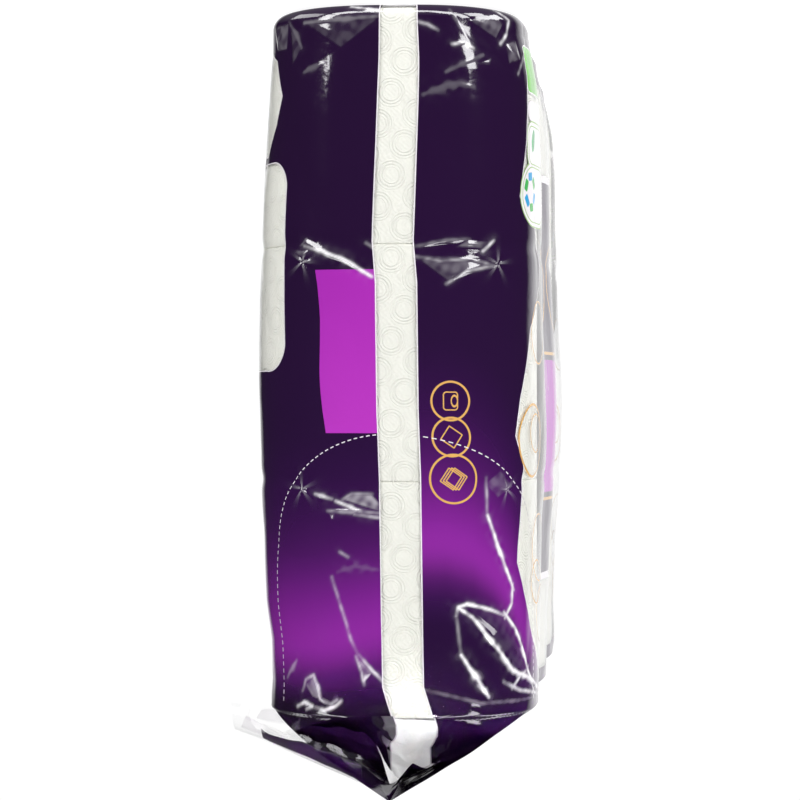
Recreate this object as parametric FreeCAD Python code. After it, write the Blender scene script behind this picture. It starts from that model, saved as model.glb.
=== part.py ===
import FreeCAD, Part
import os
from math import atan2, cos, degrees, radians, sin, sqrt

# Toilet paper rolls in a sealed film bag, in millimetres.
# X runs along the row of rolls, Y through the pack's depth, and Z up from its folded flat end.
# The gathered, sealed end is at the top.

# Rolls
rolls_across = 3
rolls_high = 3
roll_height = 96.0
roll_width = 115.0
roll_face_radius = 130.0    # of each side that its neighbours and the tight film press nearly flat
roll_corner_tuck = 11.5     # by which the section's corner radius is less than half its width
roll_rim_round = 5.0
roll_gap = 0.2              # between neighbours in a row
core_outer_radius = 21.0
core_wall = 0.8
core_clearance = 0.1
turn_groove_width = 0.7     # end of the winding, where a turn stands lower than the next
turn_groove_depth = 0.6
turn_groove_radii = (30.0, 40.0)
tail_edge_angle = 63.0      # where the outer turn's loose edge lies, from +X
tail_edge_depth = 0.3

# Film bag
film_thickness = 0.4
film_gap = 0.3
floor_thickness = 1.2       # the flat end is folded from several layers
valley_dip_angle = 2.0      # the film follows a roll this much past its face before it bridges
joint_dip = 1.4             # of the film into the joint between two tiers
sealed_rise = 33.0          # of the closed end's ridge above the rolls
eave_drop = 1.5             # of the closed end's fold below the rolls' top, over their round rims
gusset_depth = 58.0         # to which each narrow side is tucked in under the ridge
flap_thickness = 0.8        # two layers of film
fin_length = 70.0           # sealed edge, laid over towards the back
fin_thickness = 0.8
fin_droop_angle = 22.0
end_fold_offset = 14.0      # of the flat end's long fold from the middle
end_fold_inset = 58.0       # from the narrow side to the long fold's end
end_fold_reach = 34.0       # of a corner fold towards the corner, along X
end_fold_margin = 16.0      # from a corner fold's end to the broad side
end_fold_width = 1.0
end_fold_depth = 0.4

# Section of a roll: four faces of large radius joined by four corner arcs, all tangent
half_width = roll_width / 2
pitch = roll_width + roll_gap
corner_radius = half_width - roll_corner_tuck
face_centre_drop = roll_face_radius - half_width
corner_centre = (sqrt(face_centre_drop ** 2 + 4 * face_centre_drop * roll_corner_tuck
                      + 2 * roll_corner_tuck ** 2) - face_centre_drop) / 2
face_angle = degrees(atan2(corner_centre, corner_centre + face_centre_drop))
bridge_angle = face_angle + valley_dip_angle
bridge_radius = (pitch / 2 - corner_centre) / sin(radians(bridge_angle)) - corner_radius
bridge_centre_height = corner_centre + (corner_radius + bridge_radius) * cos(radians(bridge_angle))

# Heights and reaches
rolls_top = floor_thickness + rolls_high * roll_height
ridge_height = rolls_top + sealed_rise
eave_height = rolls_top - eave_drop
film_outside = film_gap + film_thickness
row_half = (rolls_across - 1) * pitch / 2
end_reach = row_half + half_width + film_outside
side_reach = half_width + film_outside
roof_slope = (ridge_height - eave_height) / side_reach
gusset_slope = (ridge_height - eave_height) / gusset_depth
beyond = 2 * (end_reach + ridge_height)


def arc(x, y, radius, start, end):
    """Arc in the XY plane about (x, y), between two angles in degrees."""
    places = []
    for angle in (start, (start + end) / 2, end):
        turn = radians(angle)
        places.append(FreeCAD.Vector(x + radius * cos(turn), y + radius * sin(turn), 0))
    return Part.Arc(*places).toShape()


def half_turned(edges):
    """Copies of the edges, turned half round about the Z axis."""
    copies = []
    for edge in edges:
        copy = edge.copy()
        copy.rotate(FreeCAD.Vector(0, 0, 0), FreeCAD.Vector(0, 0, 1), 180)
        copies.append(copy)
    return copies


def row_outline(count, offset):
    """Outline round a row of rolls, which bridges the valley between two neighbours."""
    outer = (count - 1) * pitch / 2
    bend = corner_radius + offset
    face = roll_face_radius + offset
    edges = [
        arc(outer - face_centre_drop, 0, face, -face_angle, face_angle),
        arc(outer + corner_centre, corner_centre, bend, face_angle, 90 - face_angle),
    ]
    for column in range(count):
        x = outer - column * pitch
        edges.append(arc(x, -face_centre_drop, face, 90 - face_angle, 90 + face_angle))
        if column < count - 1:
            edges += [
                arc(x - corner_centre, corner_centre, bend, 90 + face_angle, 90 + bridge_angle),
                arc(x - pitch / 2, bridge_centre_height, bridge_radius - offset,
                    270 + bridge_angle, 270 - bridge_angle),
                arc(x - pitch + corner_centre, corner_centre, bend,
                    90 - bridge_angle, 90 - face_angle),
            ]
    edges.append(arc(-outer - corner_centre, corner_centre, bend, 90 + face_angle, 180 - face_angle))
    return Part.Wire(edges + half_turned(edges))


def block(outline, low, high):
    """The outline as a solid from one height to another."""
    return Part.Face(outline).extrude(FreeCAD.Vector(0, 0, high - low)).translated(
        FreeCAD.Vector(0, 0, low))


def round_rims(solid, heights, radius):
    """Round the solid's edges that lie flat at any of the heights."""
    rims = []
    for edge in solid.Edges:
        box = edge.BoundBox
        for height in heights:
            if abs(box.ZMin - height) < 0.001 and abs(box.ZMax - height) < 0.001:
                rims.append(edge)
    return solid.makeFillet(radius, rims)


def prism(points, across):
    """Solid of the outline of points, which runs both ways by half of the vector across."""
    corners = [FreeCAD.Vector(*point) - across * 0.5 for point in points]
    return Part.Face(Part.makePolygon(corners + corners[:1])).extrude(across)


def under_roof(lowered):
    """The space under the two slopes of the closed end, lowered along their normals."""
    top = ridge_height - lowered * sqrt(1 + roof_slope ** 2)
    eave = top - beyond * roof_slope
    outline = [(0, -beyond, -beyond), (0, beyond, -beyond), (0, beyond, eave),
               (0, 0, top), (0, -beyond, eave)]
    return prism(outline, FreeCAD.Vector(2 * beyond, 0, 0))


def under_gussets():
    """The space under the two tucked-in sides' film, which rises inwards from each narrow side."""
    lowered = film_thickness * sqrt(1 + gusset_slope ** 2)
    top = ridge_height - lowered
    low_end = eave_height - lowered - beyond * gusset_slope
    inner = end_reach - gusset_depth
    outline = [(-beyond, 0, -beyond), (beyond, 0, -beyond)]
    outline += [(end_reach + beyond, 0, low_end), (inner, 0, top)]
    outline += [(-inner, 0, top), (-end_reach - beyond, 0, low_end)]
    return prism(outline, FreeCAD.Vector(0, 2 * beyond, 0))


def gusset_mouth(side):
    """The open space above one tucked-in side, between the two flaps that stand over it."""
    outline = [(side * (end_reach - gusset_depth), 0, ridge_height),
               (side * (end_reach + gusset_depth), 0, ridge_height),
               (side * (end_reach + gusset_depth), 0, 2 * eave_height - ridge_height)]
    wedge = prism(outline, FreeCAD.Vector(0, 2 * beyond, 0))
    return wedge.common(under_roof(flap_thickness))


def bag_space(offset, floor):
    """The bag's inside or outside without its closed end's fold: tiers, and waists between them."""
    rim = roll_rim_round + offset
    top = ridge_height + roll_height
    space = None
    for tier in range(rolls_high):
        low = floor_thickness + tier * roll_height
        high = low + roll_height
        if tier == 0:
            low = floor
        ends = [low, high]
        if tier == rolls_high - 1:
            high = top
            ends = [low]
        piece = round_rims(block(row_outline(rolls_across, offset), low, high), ends, rim)
        space = piece if space is None else space.fuse(piece)
    if rolls_high > 1:
        middle = floor_thickness + roll_height / 2
        waist = row_outline(rolls_across, offset - joint_dip)
        space = space.fuse(block(waist, middle, middle + (rolls_high - 1) * roll_height))
    return space


def sealed_fin():
    """The sealed edge, from the ridge over towards the back."""
    fin = Part.makeBox(2 * end_reach, fin_length, fin_thickness)
    fin.translate(FreeCAD.Vector(-end_reach, 0, 0))
    fin.rotate(FreeCAD.Vector(0, 0, 0), FreeCAD.Vector(1, 0, 0), -fin_droop_angle)
    fin.translate(FreeCAD.Vector(0, 0, ridge_height - film_thickness))
    return fin


def fold_groove(start, end):
    """Shallow groove in the flat end, between two points of it."""
    run = FreeCAD.Vector(end[0] - start[0], end[1] - start[1], 0)
    groove = Part.makeBox(run.Length, end_fold_width, 2 * end_fold_depth)
    groove.translate(FreeCAD.Vector(0, -end_fold_width / 2, -end_fold_depth))
    groove.rotate(FreeCAD.Vector(0, 0, 0), FreeCAD.Vector(0, 0, 1), degrees(atan2(run.y, run.x)))
    groove.translate(FreeCAD.Vector(start[0], start[1], 0))
    return groove


def flat_end_folds():
    """The flat end's long fold, and the two corner folds at each of its ends."""
    long_end = end_reach - end_fold_inset
    folds = [fold_groove((-long_end, end_fold_offset), (long_end, end_fold_offset))]
    for side in (-1, 1):
        start = (side * long_end, end_fold_offset)
        for broad in (-1, 1):
            corner = (side * (long_end + end_fold_reach), broad * (side_reach - end_fold_margin))
            folds.append(fold_groove(start, corner))
    return folds


def film_wrap():
    """The printed film bag: one thin-walled piece, its closed end folded as a gable."""
    outside = bag_space(film_outside, 0.0).common(under_roof(0.0))
    for side in (-1, 1):
        outside = outside.cut(gusset_mouth(side))
    outside = outside.fuse(sealed_fin())
    inside = bag_space(film_gap, floor_thickness)
    inside = inside.common(under_roof(film_thickness)).common(under_gussets())
    bag = outside.cut(inside)
    for fold in flat_end_folds():
        bag = bag.cut(fold)
    return bag


def turn_grooves(height, facing):
    """V grooves round an end of a winding, which show its turns; facing is 1 at the top end."""
    grooves = []
    for radius in turn_groove_radii:
        points = [FreeCAD.Vector(radius - turn_groove_width / 2, 0, height),
                  FreeCAD.Vector(radius + turn_groove_width / 2, 0, height),
                  FreeCAD.Vector(radius, 0, height - facing * turn_groove_depth)]
        section = Part.Face(Part.makePolygon(points + points[:1]))
        grooves.append(section.revolve(FreeCAD.Vector(0, 0, 0), FreeCAD.Vector(0, 0, 1), 360))
    return grooves


def tail_edge():
    """Shallow step down the outer turn, where the last sheet's loose edge lies."""
    turn = radians(tail_edge_angle)
    reach = corner_centre * (cos(turn) + sin(turn)) + sqrt(
        corner_radius ** 2 - (corner_centre * (cos(turn) - sin(turn))) ** 2)
    step = Part.makeBox(2 * tail_edge_depth, 2 * tail_edge_depth, 3 * roll_height)
    step.translate(FreeCAD.Vector(-tail_edge_depth, -tail_edge_depth, -roll_height))
    step.rotate(FreeCAD.Vector(0, 0, 0), FreeCAD.Vector(0, 0, 1), tail_edge_angle + 45)
    step.translate(FreeCAD.Vector(reach * cos(turn), reach * sin(turn), 0))
    return step


def paper_winding():
    """One roll's paper, its turns as one solid, standing on the XY plane."""
    roll = round_rims(block(row_outline(1, 0.0), 0.0, roll_height), [0.0, roll_height],
                      roll_rim_round)
    bore = Part.makeCylinder(core_outer_radius + core_clearance, 3 * roll_height,
                             FreeCAD.Vector(0, 0, -roll_height))
    roll = roll.cut(bore).cut(tail_edge())
    for groove in turn_grooves(0.0, -1) + turn_grooves(roll_height, 1):
        roll = roll.cut(groove)
    return roll


def cardboard_core():
    """One roll's cardboard tube, standing on the XY plane."""
    tube = Part.makeCylinder(core_outer_radius, roll_height)
    return tube.cut(Part.makeCylinder(core_outer_radius - core_wall, 3 * roll_height,
                                      FreeCAD.Vector(0, 0, -roll_height)))


def save(shape, name):
    """Write the one solid that the shape holds."""
    solid = shape.Solids[0]
    print(name, "solids", len(shape.Solids), "valid", solid.isValid(), "faces", len(solid.Faces),
          "volume", round(solid.Volume))
    solid.exportStep("parts/" + name + ".step")


def main():
    os.makedirs("parts", exist_ok=True)
    save(film_wrap(), "film_wrap")
    winding = paper_winding()
    core = cardboard_core()
    for column in range(rolls_across):
        for tier in range(rolls_high):
            place = FreeCAD.Vector(column * pitch - row_half, 0,
                                   floor_thickness + tier * roll_height)
            name = "roll_%d_%d" % (column + 1, tier + 1)
            save(winding.translated(place), name + "_paper")
            save(core.translated(place), name + "_core")


main()
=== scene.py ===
"""Looks of the toilet paper roll pack: printed film with clear windows, embossed rolls, studio."""
import functools
import math

import bpy
import numpy as np
from mathutils import Matrix


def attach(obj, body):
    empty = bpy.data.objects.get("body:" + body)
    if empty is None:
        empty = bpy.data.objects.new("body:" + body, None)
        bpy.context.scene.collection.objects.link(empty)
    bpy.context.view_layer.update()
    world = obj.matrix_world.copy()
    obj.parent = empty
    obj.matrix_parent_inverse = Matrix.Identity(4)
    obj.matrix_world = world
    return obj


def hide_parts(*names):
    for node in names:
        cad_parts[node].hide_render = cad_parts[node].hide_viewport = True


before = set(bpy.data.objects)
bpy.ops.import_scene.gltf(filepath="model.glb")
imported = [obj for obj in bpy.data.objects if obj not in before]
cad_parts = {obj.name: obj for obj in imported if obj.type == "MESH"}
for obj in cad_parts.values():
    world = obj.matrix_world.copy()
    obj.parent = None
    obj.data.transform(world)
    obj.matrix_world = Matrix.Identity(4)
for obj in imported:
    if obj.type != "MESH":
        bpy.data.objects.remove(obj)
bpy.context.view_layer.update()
MM = 0.001
SEED = 7

# Driving sizes of the pack, in millimetres, as in its construction
ROLL_WIDTH = 115.0
ROLL_HEIGHT = 96.0
ROLL_GAP = 0.2
ROLL_FACE_RADIUS = 130.0
ROLL_CORNER_TUCK = 11.5
ROLLS_ACROSS = 3
ROLLS_HIGH = 3
VALLEY_DIP_ANGLE = 2.0
FLOOR = 1.2
FILM_OFFSET = 0.5           # of the film's middle from the rolls
RIM_ROUND = 5.5
TOP_ROUND = 1.4             # of the crease at the closed end
SEALED_RISE = 33.0
EAVE_DROP = 1.5
GUSSET_DEPTH = 58.0
FIN_LENGTH = 70.0
FIN_DROOP = math.radians(22.0)

HALF_WIDTH = ROLL_WIDTH / 2
PITCH = ROLL_WIDTH + ROLL_GAP
ROW_HALF = (ROLLS_ACROSS - 1) * PITCH / 2
END_REACH = ROW_HALF + HALF_WIDTH + FILM_OFFSET
SIDE_REACH = HALF_WIDTH + FILM_OFFSET
ROLLS_TOP = FLOOR + ROLLS_HIGH * ROLL_HEIGHT
RIDGE = ROLLS_TOP + SEALED_RISE
EAVE = ROLLS_TOP - EAVE_DROP
ROOF_SLOPE = (RIDGE - EAVE) / SIDE_REACH
GUSSET_SLOPE = (RIDGE - EAVE) / GUSSET_DEPTH
JOINTS = [FLOOR + ROLL_HEIGHT * (tier + 1) for tier in range(ROLLS_HIGH - 1)]
PACK_MIDDLE = (0.0, 0.0, 150.0)
FAR_ABOVE = (0.0, 0.0, 1000.0)

# Waves of the film: how many, shortest and longest wavelength, seed
WALL_SWELL = (14, 50, 160, 1)
WALL_RIPPLE = (14, 14, 40, 2)
SLOPE_CRUMPLE = (14, 30, 140, 5)
SLOPE_RIPPLE = (8, 14, 40, 6)
TUCK_WRINKLE = (14, 10, 45, 8)
TUCK_PULL = (10, 6, 20, 9)
FOLD_RAGGED = (8, 5, 16, 31)
FOLD_WRINKLE = (14, 9, 36, 11)
FOLD_FAN = (12, 7, 24, 15)
FIN_SWELL = (10, 30, 120, 21)
CURL_SWELL = (10, 12, 50, 22)
CURL_RAGGED = (8, 10, 40, 23)
MOTTLE = (14, 3, 12, 41)


def smooth(t):
    t = np.clip(t, 0, 1)
    return t * t * (3 - 2 * t)


OUTLINE_STEP = 0.5          # longest of the outline's steps
NORMAL_STEP = 0.6           # to each side, for the film's direction


def roll_section():
    """A pressed roll's arcs: the face's drop, the corner's centre and radius, the face's half angle."""
    drop = ROLL_FACE_RADIUS - HALF_WIDTH
    tuck = ROLL_CORNER_TUCK
    centre = (math.sqrt(drop ** 2 + 4 * drop * tuck + 2 * tuck ** 2) - drop) / 2
    return drop, centre, HALF_WIDTH - tuck, math.degrees(math.atan2(centre, centre + drop))


def arc(x, y, radius, start, end, steps):
    """x and y of points round a centre, from start to before end, in degrees."""
    turn = np.radians(np.linspace(start, end, steps, endpoint=False))
    return np.stack([x + radius * np.cos(turn), y + radius * np.sin(turn)])


def row_outline(offset):
    """Outline round the row of rolls, anticlockwise from the middle of the +X side: lengths, x, y."""
    drop, centre, radius, face = roll_section()
    bridge = face + VALLEY_DIP_ANGLE
    bridge_radius = (PITCH / 2 - centre) / math.sin(math.radians(bridge)) - radius
    bridge_height = centre + (radius + bridge_radius) * math.cos(math.radians(bridge))
    bend = radius + offset
    wide = ROLL_FACE_RADIUS + offset
    arcs = [(ROW_HALF - drop, 0, wide, -face, face),
            (ROW_HALF + centre, centre, bend, face, 90 - face)]
    for column in range(ROLLS_ACROSS):
        x = ROW_HALF - column * PITCH
        arcs.append((x, -drop, wide, 90 - face, 90 + face))
        if column < ROLLS_ACROSS - 1:
            arcs += [(x - centre, centre, bend, 90 + face, 90 + bridge),
                     (x - PITCH / 2, bridge_height, bridge_radius - offset,
                      270 + bridge, 270 - bridge),
                     (x - PITCH + centre, centre, bend, 90 - bridge, 90 - face)]
    arcs.append((-ROW_HALF - centre, centre, bend, 90 + face, 180 - face))
    arcs += [(-x, -y, r, a + 180, b + 180) for x, y, r, a, b in arcs]
    points = []
    for x, y, r, start, end in arcs:
        steps = max(4, int(abs(math.radians(end - start)) * r / OUTLINE_STEP))
        points.append(arc(x, y, r, start, end, steps))
    x, y = np.concatenate(points, 1)
    x, y = np.append(x, x[0]), np.append(y, y[0])
    length = np.concatenate([[0], np.cumsum(np.hypot(np.diff(x), np.diff(y)))])
    return length - wide * math.radians(face), x, y


# How far the tight film has drawn the rolls in, in millimetres, over the height
BACK_DRAWN_IN = ((0, 4.6), (15, 4.6), (32, 3.0), (57, 1.7), (74, 0.4), (100, -0.4), (117, -0.8),
                 (150, -1.2), (172, -0.8), (197, -0.4), (218, 0.8), (244, 2.1), (260, 4.0),
                 (277, 4.4), (289, 3.6), (RIDGE, 2.0))
FRONT_DRAWN_IN = ((0, 5.0), (9, 4.4), (17, 2.6), (26, 1.0), (40, 0.0), (RIDGE, 0.0))


def drawn_in(y, z):
    """y after the film has drawn the pack in at its ends."""
    back = np.interp(z, *zip(*BACK_DRAWN_IN)) / HALF_WIDTH
    front = np.interp(z, *zip(*FRONT_DRAWN_IN)) / HALF_WIDTH
    blend = smooth(0.5 + y / 30)
    return y * (1 - back * blend - front * (1 - blend))


OUTLINE = row_outline(FILM_OFFSET)
ROUND = OUTLINE[0][-1] - OUTLINE[0][0]      # length once round the pack


def around(u):
    """x, y and outward normal of the film at u, measured round from the near side's middle.

    u grows towards the front, -Y."""
    length, xs, ys = OUTLINE
    w = (-np.asarray(u, float) - length[0]) % ROUND + length[0]
    x, y = np.interp(w, length, xs), np.interp(w, length, ys)
    ahead = (w + NORMAL_STEP - length[0]) % ROUND + length[0]
    behind = (w - NORMAL_STEP - length[0]) % ROUND + length[0]
    tx = np.interp(ahead, length, xs) - np.interp(behind, length, xs)
    ty = np.interp(ahead, length, ys) - np.interp(behind, length, ys)
    size = np.hypot(tx, ty)
    return x, y, ty / size, -tx / size


# Camera: level, on the +X side, a little towards the front, and rolled half round
CAMERA = np.array([1276.0, -95.0, 160.2])
AIM = np.array([END_REACH, -4.3, 160.2])
FOCAL_PX = 2745.0
FRAME_PX = 800
SENSOR_MM = 36.0
NEAR_DEPTH = 1105.0
ahead = (AIM - CAMERA) / np.linalg.norm(AIM - CAMERA)
up = np.array([0.0, 0.0, -1.0])
right = np.cross(ahead, up)


def add_object(name, data):
    made = bpy.data.objects.new(name, data)
    bpy.context.scene.collection.objects.link(made)
    return made


def placing(place, *axes):
    """Matrix of an object at a place, with its x, y and z axes."""
    return Matrix.Translation(place) @ Matrix(axes).transposed().to_4x4()


def make_camera():
    data = bpy.data.cameras.new("camera")
    data.sensor_width = SENSOR_MM
    data.lens = FOCAL_PX * SENSOR_MM / FRAME_PX
    camera = add_object("camera", data)
    camera.matrix_world = placing(CAMERA * MM, right, up, -ahead)
    bpy.context.scene.camera = camera


def on_film(places):
    """Film coordinates (u, z) of places given in the photo's pixels, on the near side."""
    every_u = np.linspace(-100, 100, 1601)
    x, y, _, _ = around(every_u)
    found = []
    for px, py in np.reshape(places, (-1, 2)):
        z = CAMERA[2] + (py - FRAME_PX / 2) * NEAR_DEPTH / FOCAL_PX
        for _ in range(3):
            away = np.stack([x, drawn_in(y, z), np.full_like(x, CAMERA[2])], 1) - CAMERA
            depth = away @ ahead
            across = FRAME_PX / 2 + FOCAL_PX * (away @ right) / depth
            low, high = np.argmin(across), np.argmax(across)
            part = slice(low, high + 1)
            at = np.interp(px, np.maximum.accumulate(across[part]), every_u[part])
            z = CAMERA[2] + (py - FRAME_PX / 2) * np.interp(at, every_u, depth) / FOCAL_PX
        found.append((at, z))
    return np.array(found)


def waves(u, v, count, low, high, seed, side=0):
    """Smooth seeded noise, about -1 to 1, which closes round the pack."""
    random = np.random.default_rng(SEED + seed + side)
    total = np.zeros(np.broadcast(u, v).shape)
    for _ in range(count):
        wave = math.exp(random.uniform(math.log(low), math.log(high)))
        turn = random.uniform(0, math.pi)
        turns = round(ROUND / wave * math.cos(turn))
        total += np.cos(2 * math.pi * (turns * u / ROUND + math.sin(turn) * v / wave)
                        + random.uniform(0, 2 * math.pi))
    return total / math.sqrt(count)


FAR_OFF = 1e9
FOLD_POWER = 1.7            # how sharply a crease rises to its crest
CREASE_SHARE = 0.55         # of the creases' full height that the tight film keeps


def stretches(u, v, path):
    """For each stretch of a path: how far (u, v) is, its share of the way, if it is on the left."""
    lengths = [np.linalg.norm(b - a) for a, b in zip(path, path[1:])]
    run = 0.0
    for a, b, length in zip(path, path[1:], lengths):
        d = (b - a) / length
        along = np.clip((u - a[0]) * d[0] + (v - a[1]) * d[1], 0, length)
        du, dv = u - a[0] - along * d[0], v - a[1] - along * d[1]
        yield np.hypot(du, dv), (run + along) / sum(lengths), d[0] * dv - d[1] * du < 0
        run += length


def fold(u, v, path, lit, back, slope):
    """Crest of film along a path: its lit side, to the left of the path, rises towards it.

    lit and back are the two sides' widths, and slope is the lit side's."""
    nearest = np.full(u.shape, FAR_OFF)
    value = np.zeros(u.shape)
    height = slope * lit / FOLD_POWER
    for distance, share, on_lit in stretches(u, v, path):
        narrow = 0.25 + 0.75 * np.clip(1 - np.abs(2 * share - 1) ** 3, 0, 1)
        rise = np.where(on_lit, np.clip(1 - distance / (lit * narrow), 0, 1) ** FOLD_POWER,
                        smooth(1 - distance / (back * narrow)))
        ends = np.clip(1 - np.abs(2 * share - 1) ** 6, 0, 1)
        value = np.where(distance < nearest, ends * height * narrow * rise, value)
        nearest = np.minimum(nearest, distance)
    return value


def facet(u, v, corners, slopes):
    """Flat-sided bump over a convex outline: one slope rising inwards from each edge."""
    following = np.roll(corners, -1, 0)
    area = np.sum(corners[:, 0] * following[:, 1] - following[:, 0] * corners[:, 1])
    height = np.full(u.shape, FAR_OFF)
    for a, b, slope in zip(corners, following, slopes):
        d = (b - a) / np.linalg.norm(b - a)
        inward = ((v - a[1]) * d[0] - (u - a[0]) * d[1]) * math.copysign(1, area)
        height = np.minimum(height, inward * slope)
    return np.maximum(height, 0)


# Creases of the near side's film: path on the photo's pixels, with the lit side to its left seen
# from outside, lit width, far width, slope, how strong a painted white highlight runs along it, and how
# wide
CREASES = [
    ((305, 246, 322, 251, 345, 260, 372, 277), 6, 1.6, 0.4, 0.95, 0.75),
    ((366, 243, 385, 256, 400, 266, 412, 288), 5, 2, 0.4, 0.22, 0.7),
    ((413, 247, 440, 241, 470, 239), 6, 2, 0.28, 0.16, 0.6),
    ((414, 256, 440, 261, 470, 259, 494, 266), 2, 1, 0.3, 0.35, 0.5),
    ((446, 284, 466, 271, 492, 266), 1.2, 1, 0.3, 0.55, 0.45),
    ((483, 251, 494, 241), 1.5, 1, 0.4, 0.85, 0.7),
    ((316, 494, 332, 499), 1.5, 1, 0.4, 0.75, 0.7),
    ((336, 501, 348, 506, 362, 512), 1.5, 1.2, 0.4, 0.85, 0.75),
    ((342, 500, 352, 494, 372, 494), 1.5, 1.2, 0.3, 0.35, 0.5),
    ((380, 513, 355, 512, 328, 511), 7, 2, 0.35, 0.3, 0.6),
    ((380, 518, 355, 514), 2, 1, 0.3, 0.55, 0.6),
    ((348, 557, 340, 552), 1, 1, 0.35, 0.3, 0.6),
    ((378, 570, 355, 566, 338, 572), 6, 4, 0.22, 0.06, 1.2),
    ((332, 577, 343, 613, 351, 640, 359, 657), 1, 2, 0.3, 0.4, 0.4),
    ((359, 655, 372, 670, 388, 686, 402, 694), 2, 1.5, 0.35, 0.6, 0.55),
    ((356, 656, 362, 672, 364, 685), 1.6, 1.5, 0.35, 0.5, 0.5),
    ((486, 478, 486, 500, 487, 518), 0.9, 1.5, 0.3, 0.4, 0.45),
    ((487, 515, 497, 545, 513, 590), 2, 1.2, 0.45, 1, 0.72),
    ((504, 618, 511, 603, 512, 584), 1.8, 1.5, 0.4, 0.85, 0.6),
    ((456, 616, 458, 607, 466, 604, 485, 608, 506, 616), 1.4, 1.2, 0.4, 0.9, 0.62),
    ((458, 608, 472, 617, 492, 643, 512, 670, 540, 695), 2.6, 1.6, 0.45, 1, 0.95),
    ((533, 692, 527, 670, 522, 650, 514, 628, 503, 612), 2.6, 1.6, 0.45, 1, 0.8),
    ((512, 688, 520, 676, 528, 666), 1.4, 1, 0.35, 0.75, 0.5),
    ((503, 682, 520, 690, 538, 694), 1.4, 1, 0.35, 0.75, 0.5),
    ((456, 614, 458, 632, 461, 657), 0.9, 1.2, 0.4, 0.3, 0.45),
    ((461, 655, 472, 672, 488, 697), 2.4, 1.4, 0.45, 1, 0.92),
    ((297, 660, 293, 668, 288, 677), 2.5, 2, 0.3, 0.2, 0.8),
    ((423, 690, 451, 696, 480, 703, 510, 701, 538, 692), 1.6, 2.5, 0.3, 0.16, 0.5),
    ((341, 701, 336, 706, 325, 710, 316, 707), 1.6, 1.2, 0.35, 0.75, 0.55),
    ((298, 706, 305, 702, 313, 706, 307, 709), 1.6, 1.2, 0.35, 0.75, 0.6),
    ((303, 690, 306, 680, 314, 675, 318, 685, 321, 699, 331, 704, 337, 700), 1.6, 1.2, 0.35, 0.6, 0.55),
    ((350, 4, 372, 9, 400, 14), 1.8, 1, 0.35, 0.8, 0.6),
    ((305, 23, 345, 19, 381, 16), 2, 1, 0.3, 0.16, 0.9),
    ((450, 9, 462, 29, 473, 47), 0.9, 1, 0.3, 0.28, 0.4),
    ((452, 44, 466, 42), 1.2, 1, 0.35, 0.75, 0.5),
    ((416, 21, 427, 24, 438, 30), 1, 0.8, 0.3, 0.55, 0.5),
    ((497, 8, 508, 20, 506, 34, 500, 44), 1.2, 1.2, 0.4, 0.75, 0.6),
    ((446, 72, 466, 62, 483, 55), 1.6, 0.8, 0.28, 0.1, 1),
    ((466, 44, 473, 48), 0.9, 0.8, 0.3, 0.85, 0.8),
    ((424, 94, 440, 88, 458, 84, 473, 87), 2.6, 2, 0.22, 0.08, 1.5),
    ((518, 74, 523, 52, 525, 30), 1.4, 1.2, 0.3, 0.3, 0.6),
    ((304, 72, 313, 67, 324, 63), 1.8, 1, 0.26, 0.1, 1),
    ((281, 100, 276, 78, 271, 60), 1, 1, 0.4, 0.55, 0.5),
    ((302, 48, 297, 34, 290, 22), 2.5, 1.2, 0.26, 0.12, 0.9),
]
# Flat patches: corners on the photo's pixels, slope from each edge, and the painted grey sheen over the
# patch
PATCHES = [
    ((299, 246, 306, 237, 311, 240, 319, 249), (0.4, 0.4, 0.6, 0.6), 0.2),
    ((293, 250, 309, 250, 303, 259), (0.3, 0.5, 0.5), 0.12),
    ((413, 255, 475, 257, 492, 265, 448, 283, 425, 264), (0.2, 0.3, 0.5, 0.5, 0.5), 0.1),
    ((455, 247, 468, 239, 492, 242, 484, 249), (0.4, 0.4, 0.5, 0.5), 0.14),
    ((342, 500, 352, 494, 372, 494, 380, 503, 380, 512), (0.4, 0.4, 0.4, 0.6, 0.5), 0.3),
    ((330, 512, 337, 512, 333, 522), (0.5, 0.5, 0.4), 0.16),
    ((466, 606, 503, 615, 527, 670, 532, 690, 490, 640), (0.3, 0.3, 0.3, 0.4, 0.4), 0.03),
    ((356, 655, 374, 672, 362, 686), (0.4, 0.5, 0.5), 0.22),
    ((305, 684, 315, 675, 325, 701, 313, 697), (0.4, 0.5, 0.5, 0.5), 0.2),
    ((305, 23, 381, 17, 341, 48), (0.16, 0.2, 0.2), 0.04),
    ((276, 28, 290, 23, 288, 50, 279, 52), (0.28, 0.4, 0.5, 0.5), 0.1),
    ((291, 24, 303, 48, 293, 66), (0.3, 0.5, 0.5), 0.05),
    ((468, 20, 490, 12, 503, 24, 496, 39), (0.3, 0.26, 0.5, 0.5), 0.1),
    ((478, 64, 492, 57, 490, 66), (0.3, 0.5, 0.5), 0.12),
    ((504, 44, 514, 40, 520, 60, 509, 64), (0.28, 0.5, 0.5, 0.5), 0.1),
    ((484, 484, 500, 470, 513, 486, 497, 498), (0.28, 0.4, 0.4, 0.4), 0.08),
]
STARS = [(303, 262), (497, 264), (303, 489), (506, 489)]


def front_bulge(u, z):
    """The loose film of the front, which stands off the rolls."""
    across_front = smooth((u - 70) / 60) * smooth((360 - u) / 40)
    return across_front * (4.8 * np.exp(-((z - 165) / 60) ** 2)
                           + 1.2 * np.exp(-((z - 60) / 40) ** 2))


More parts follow.
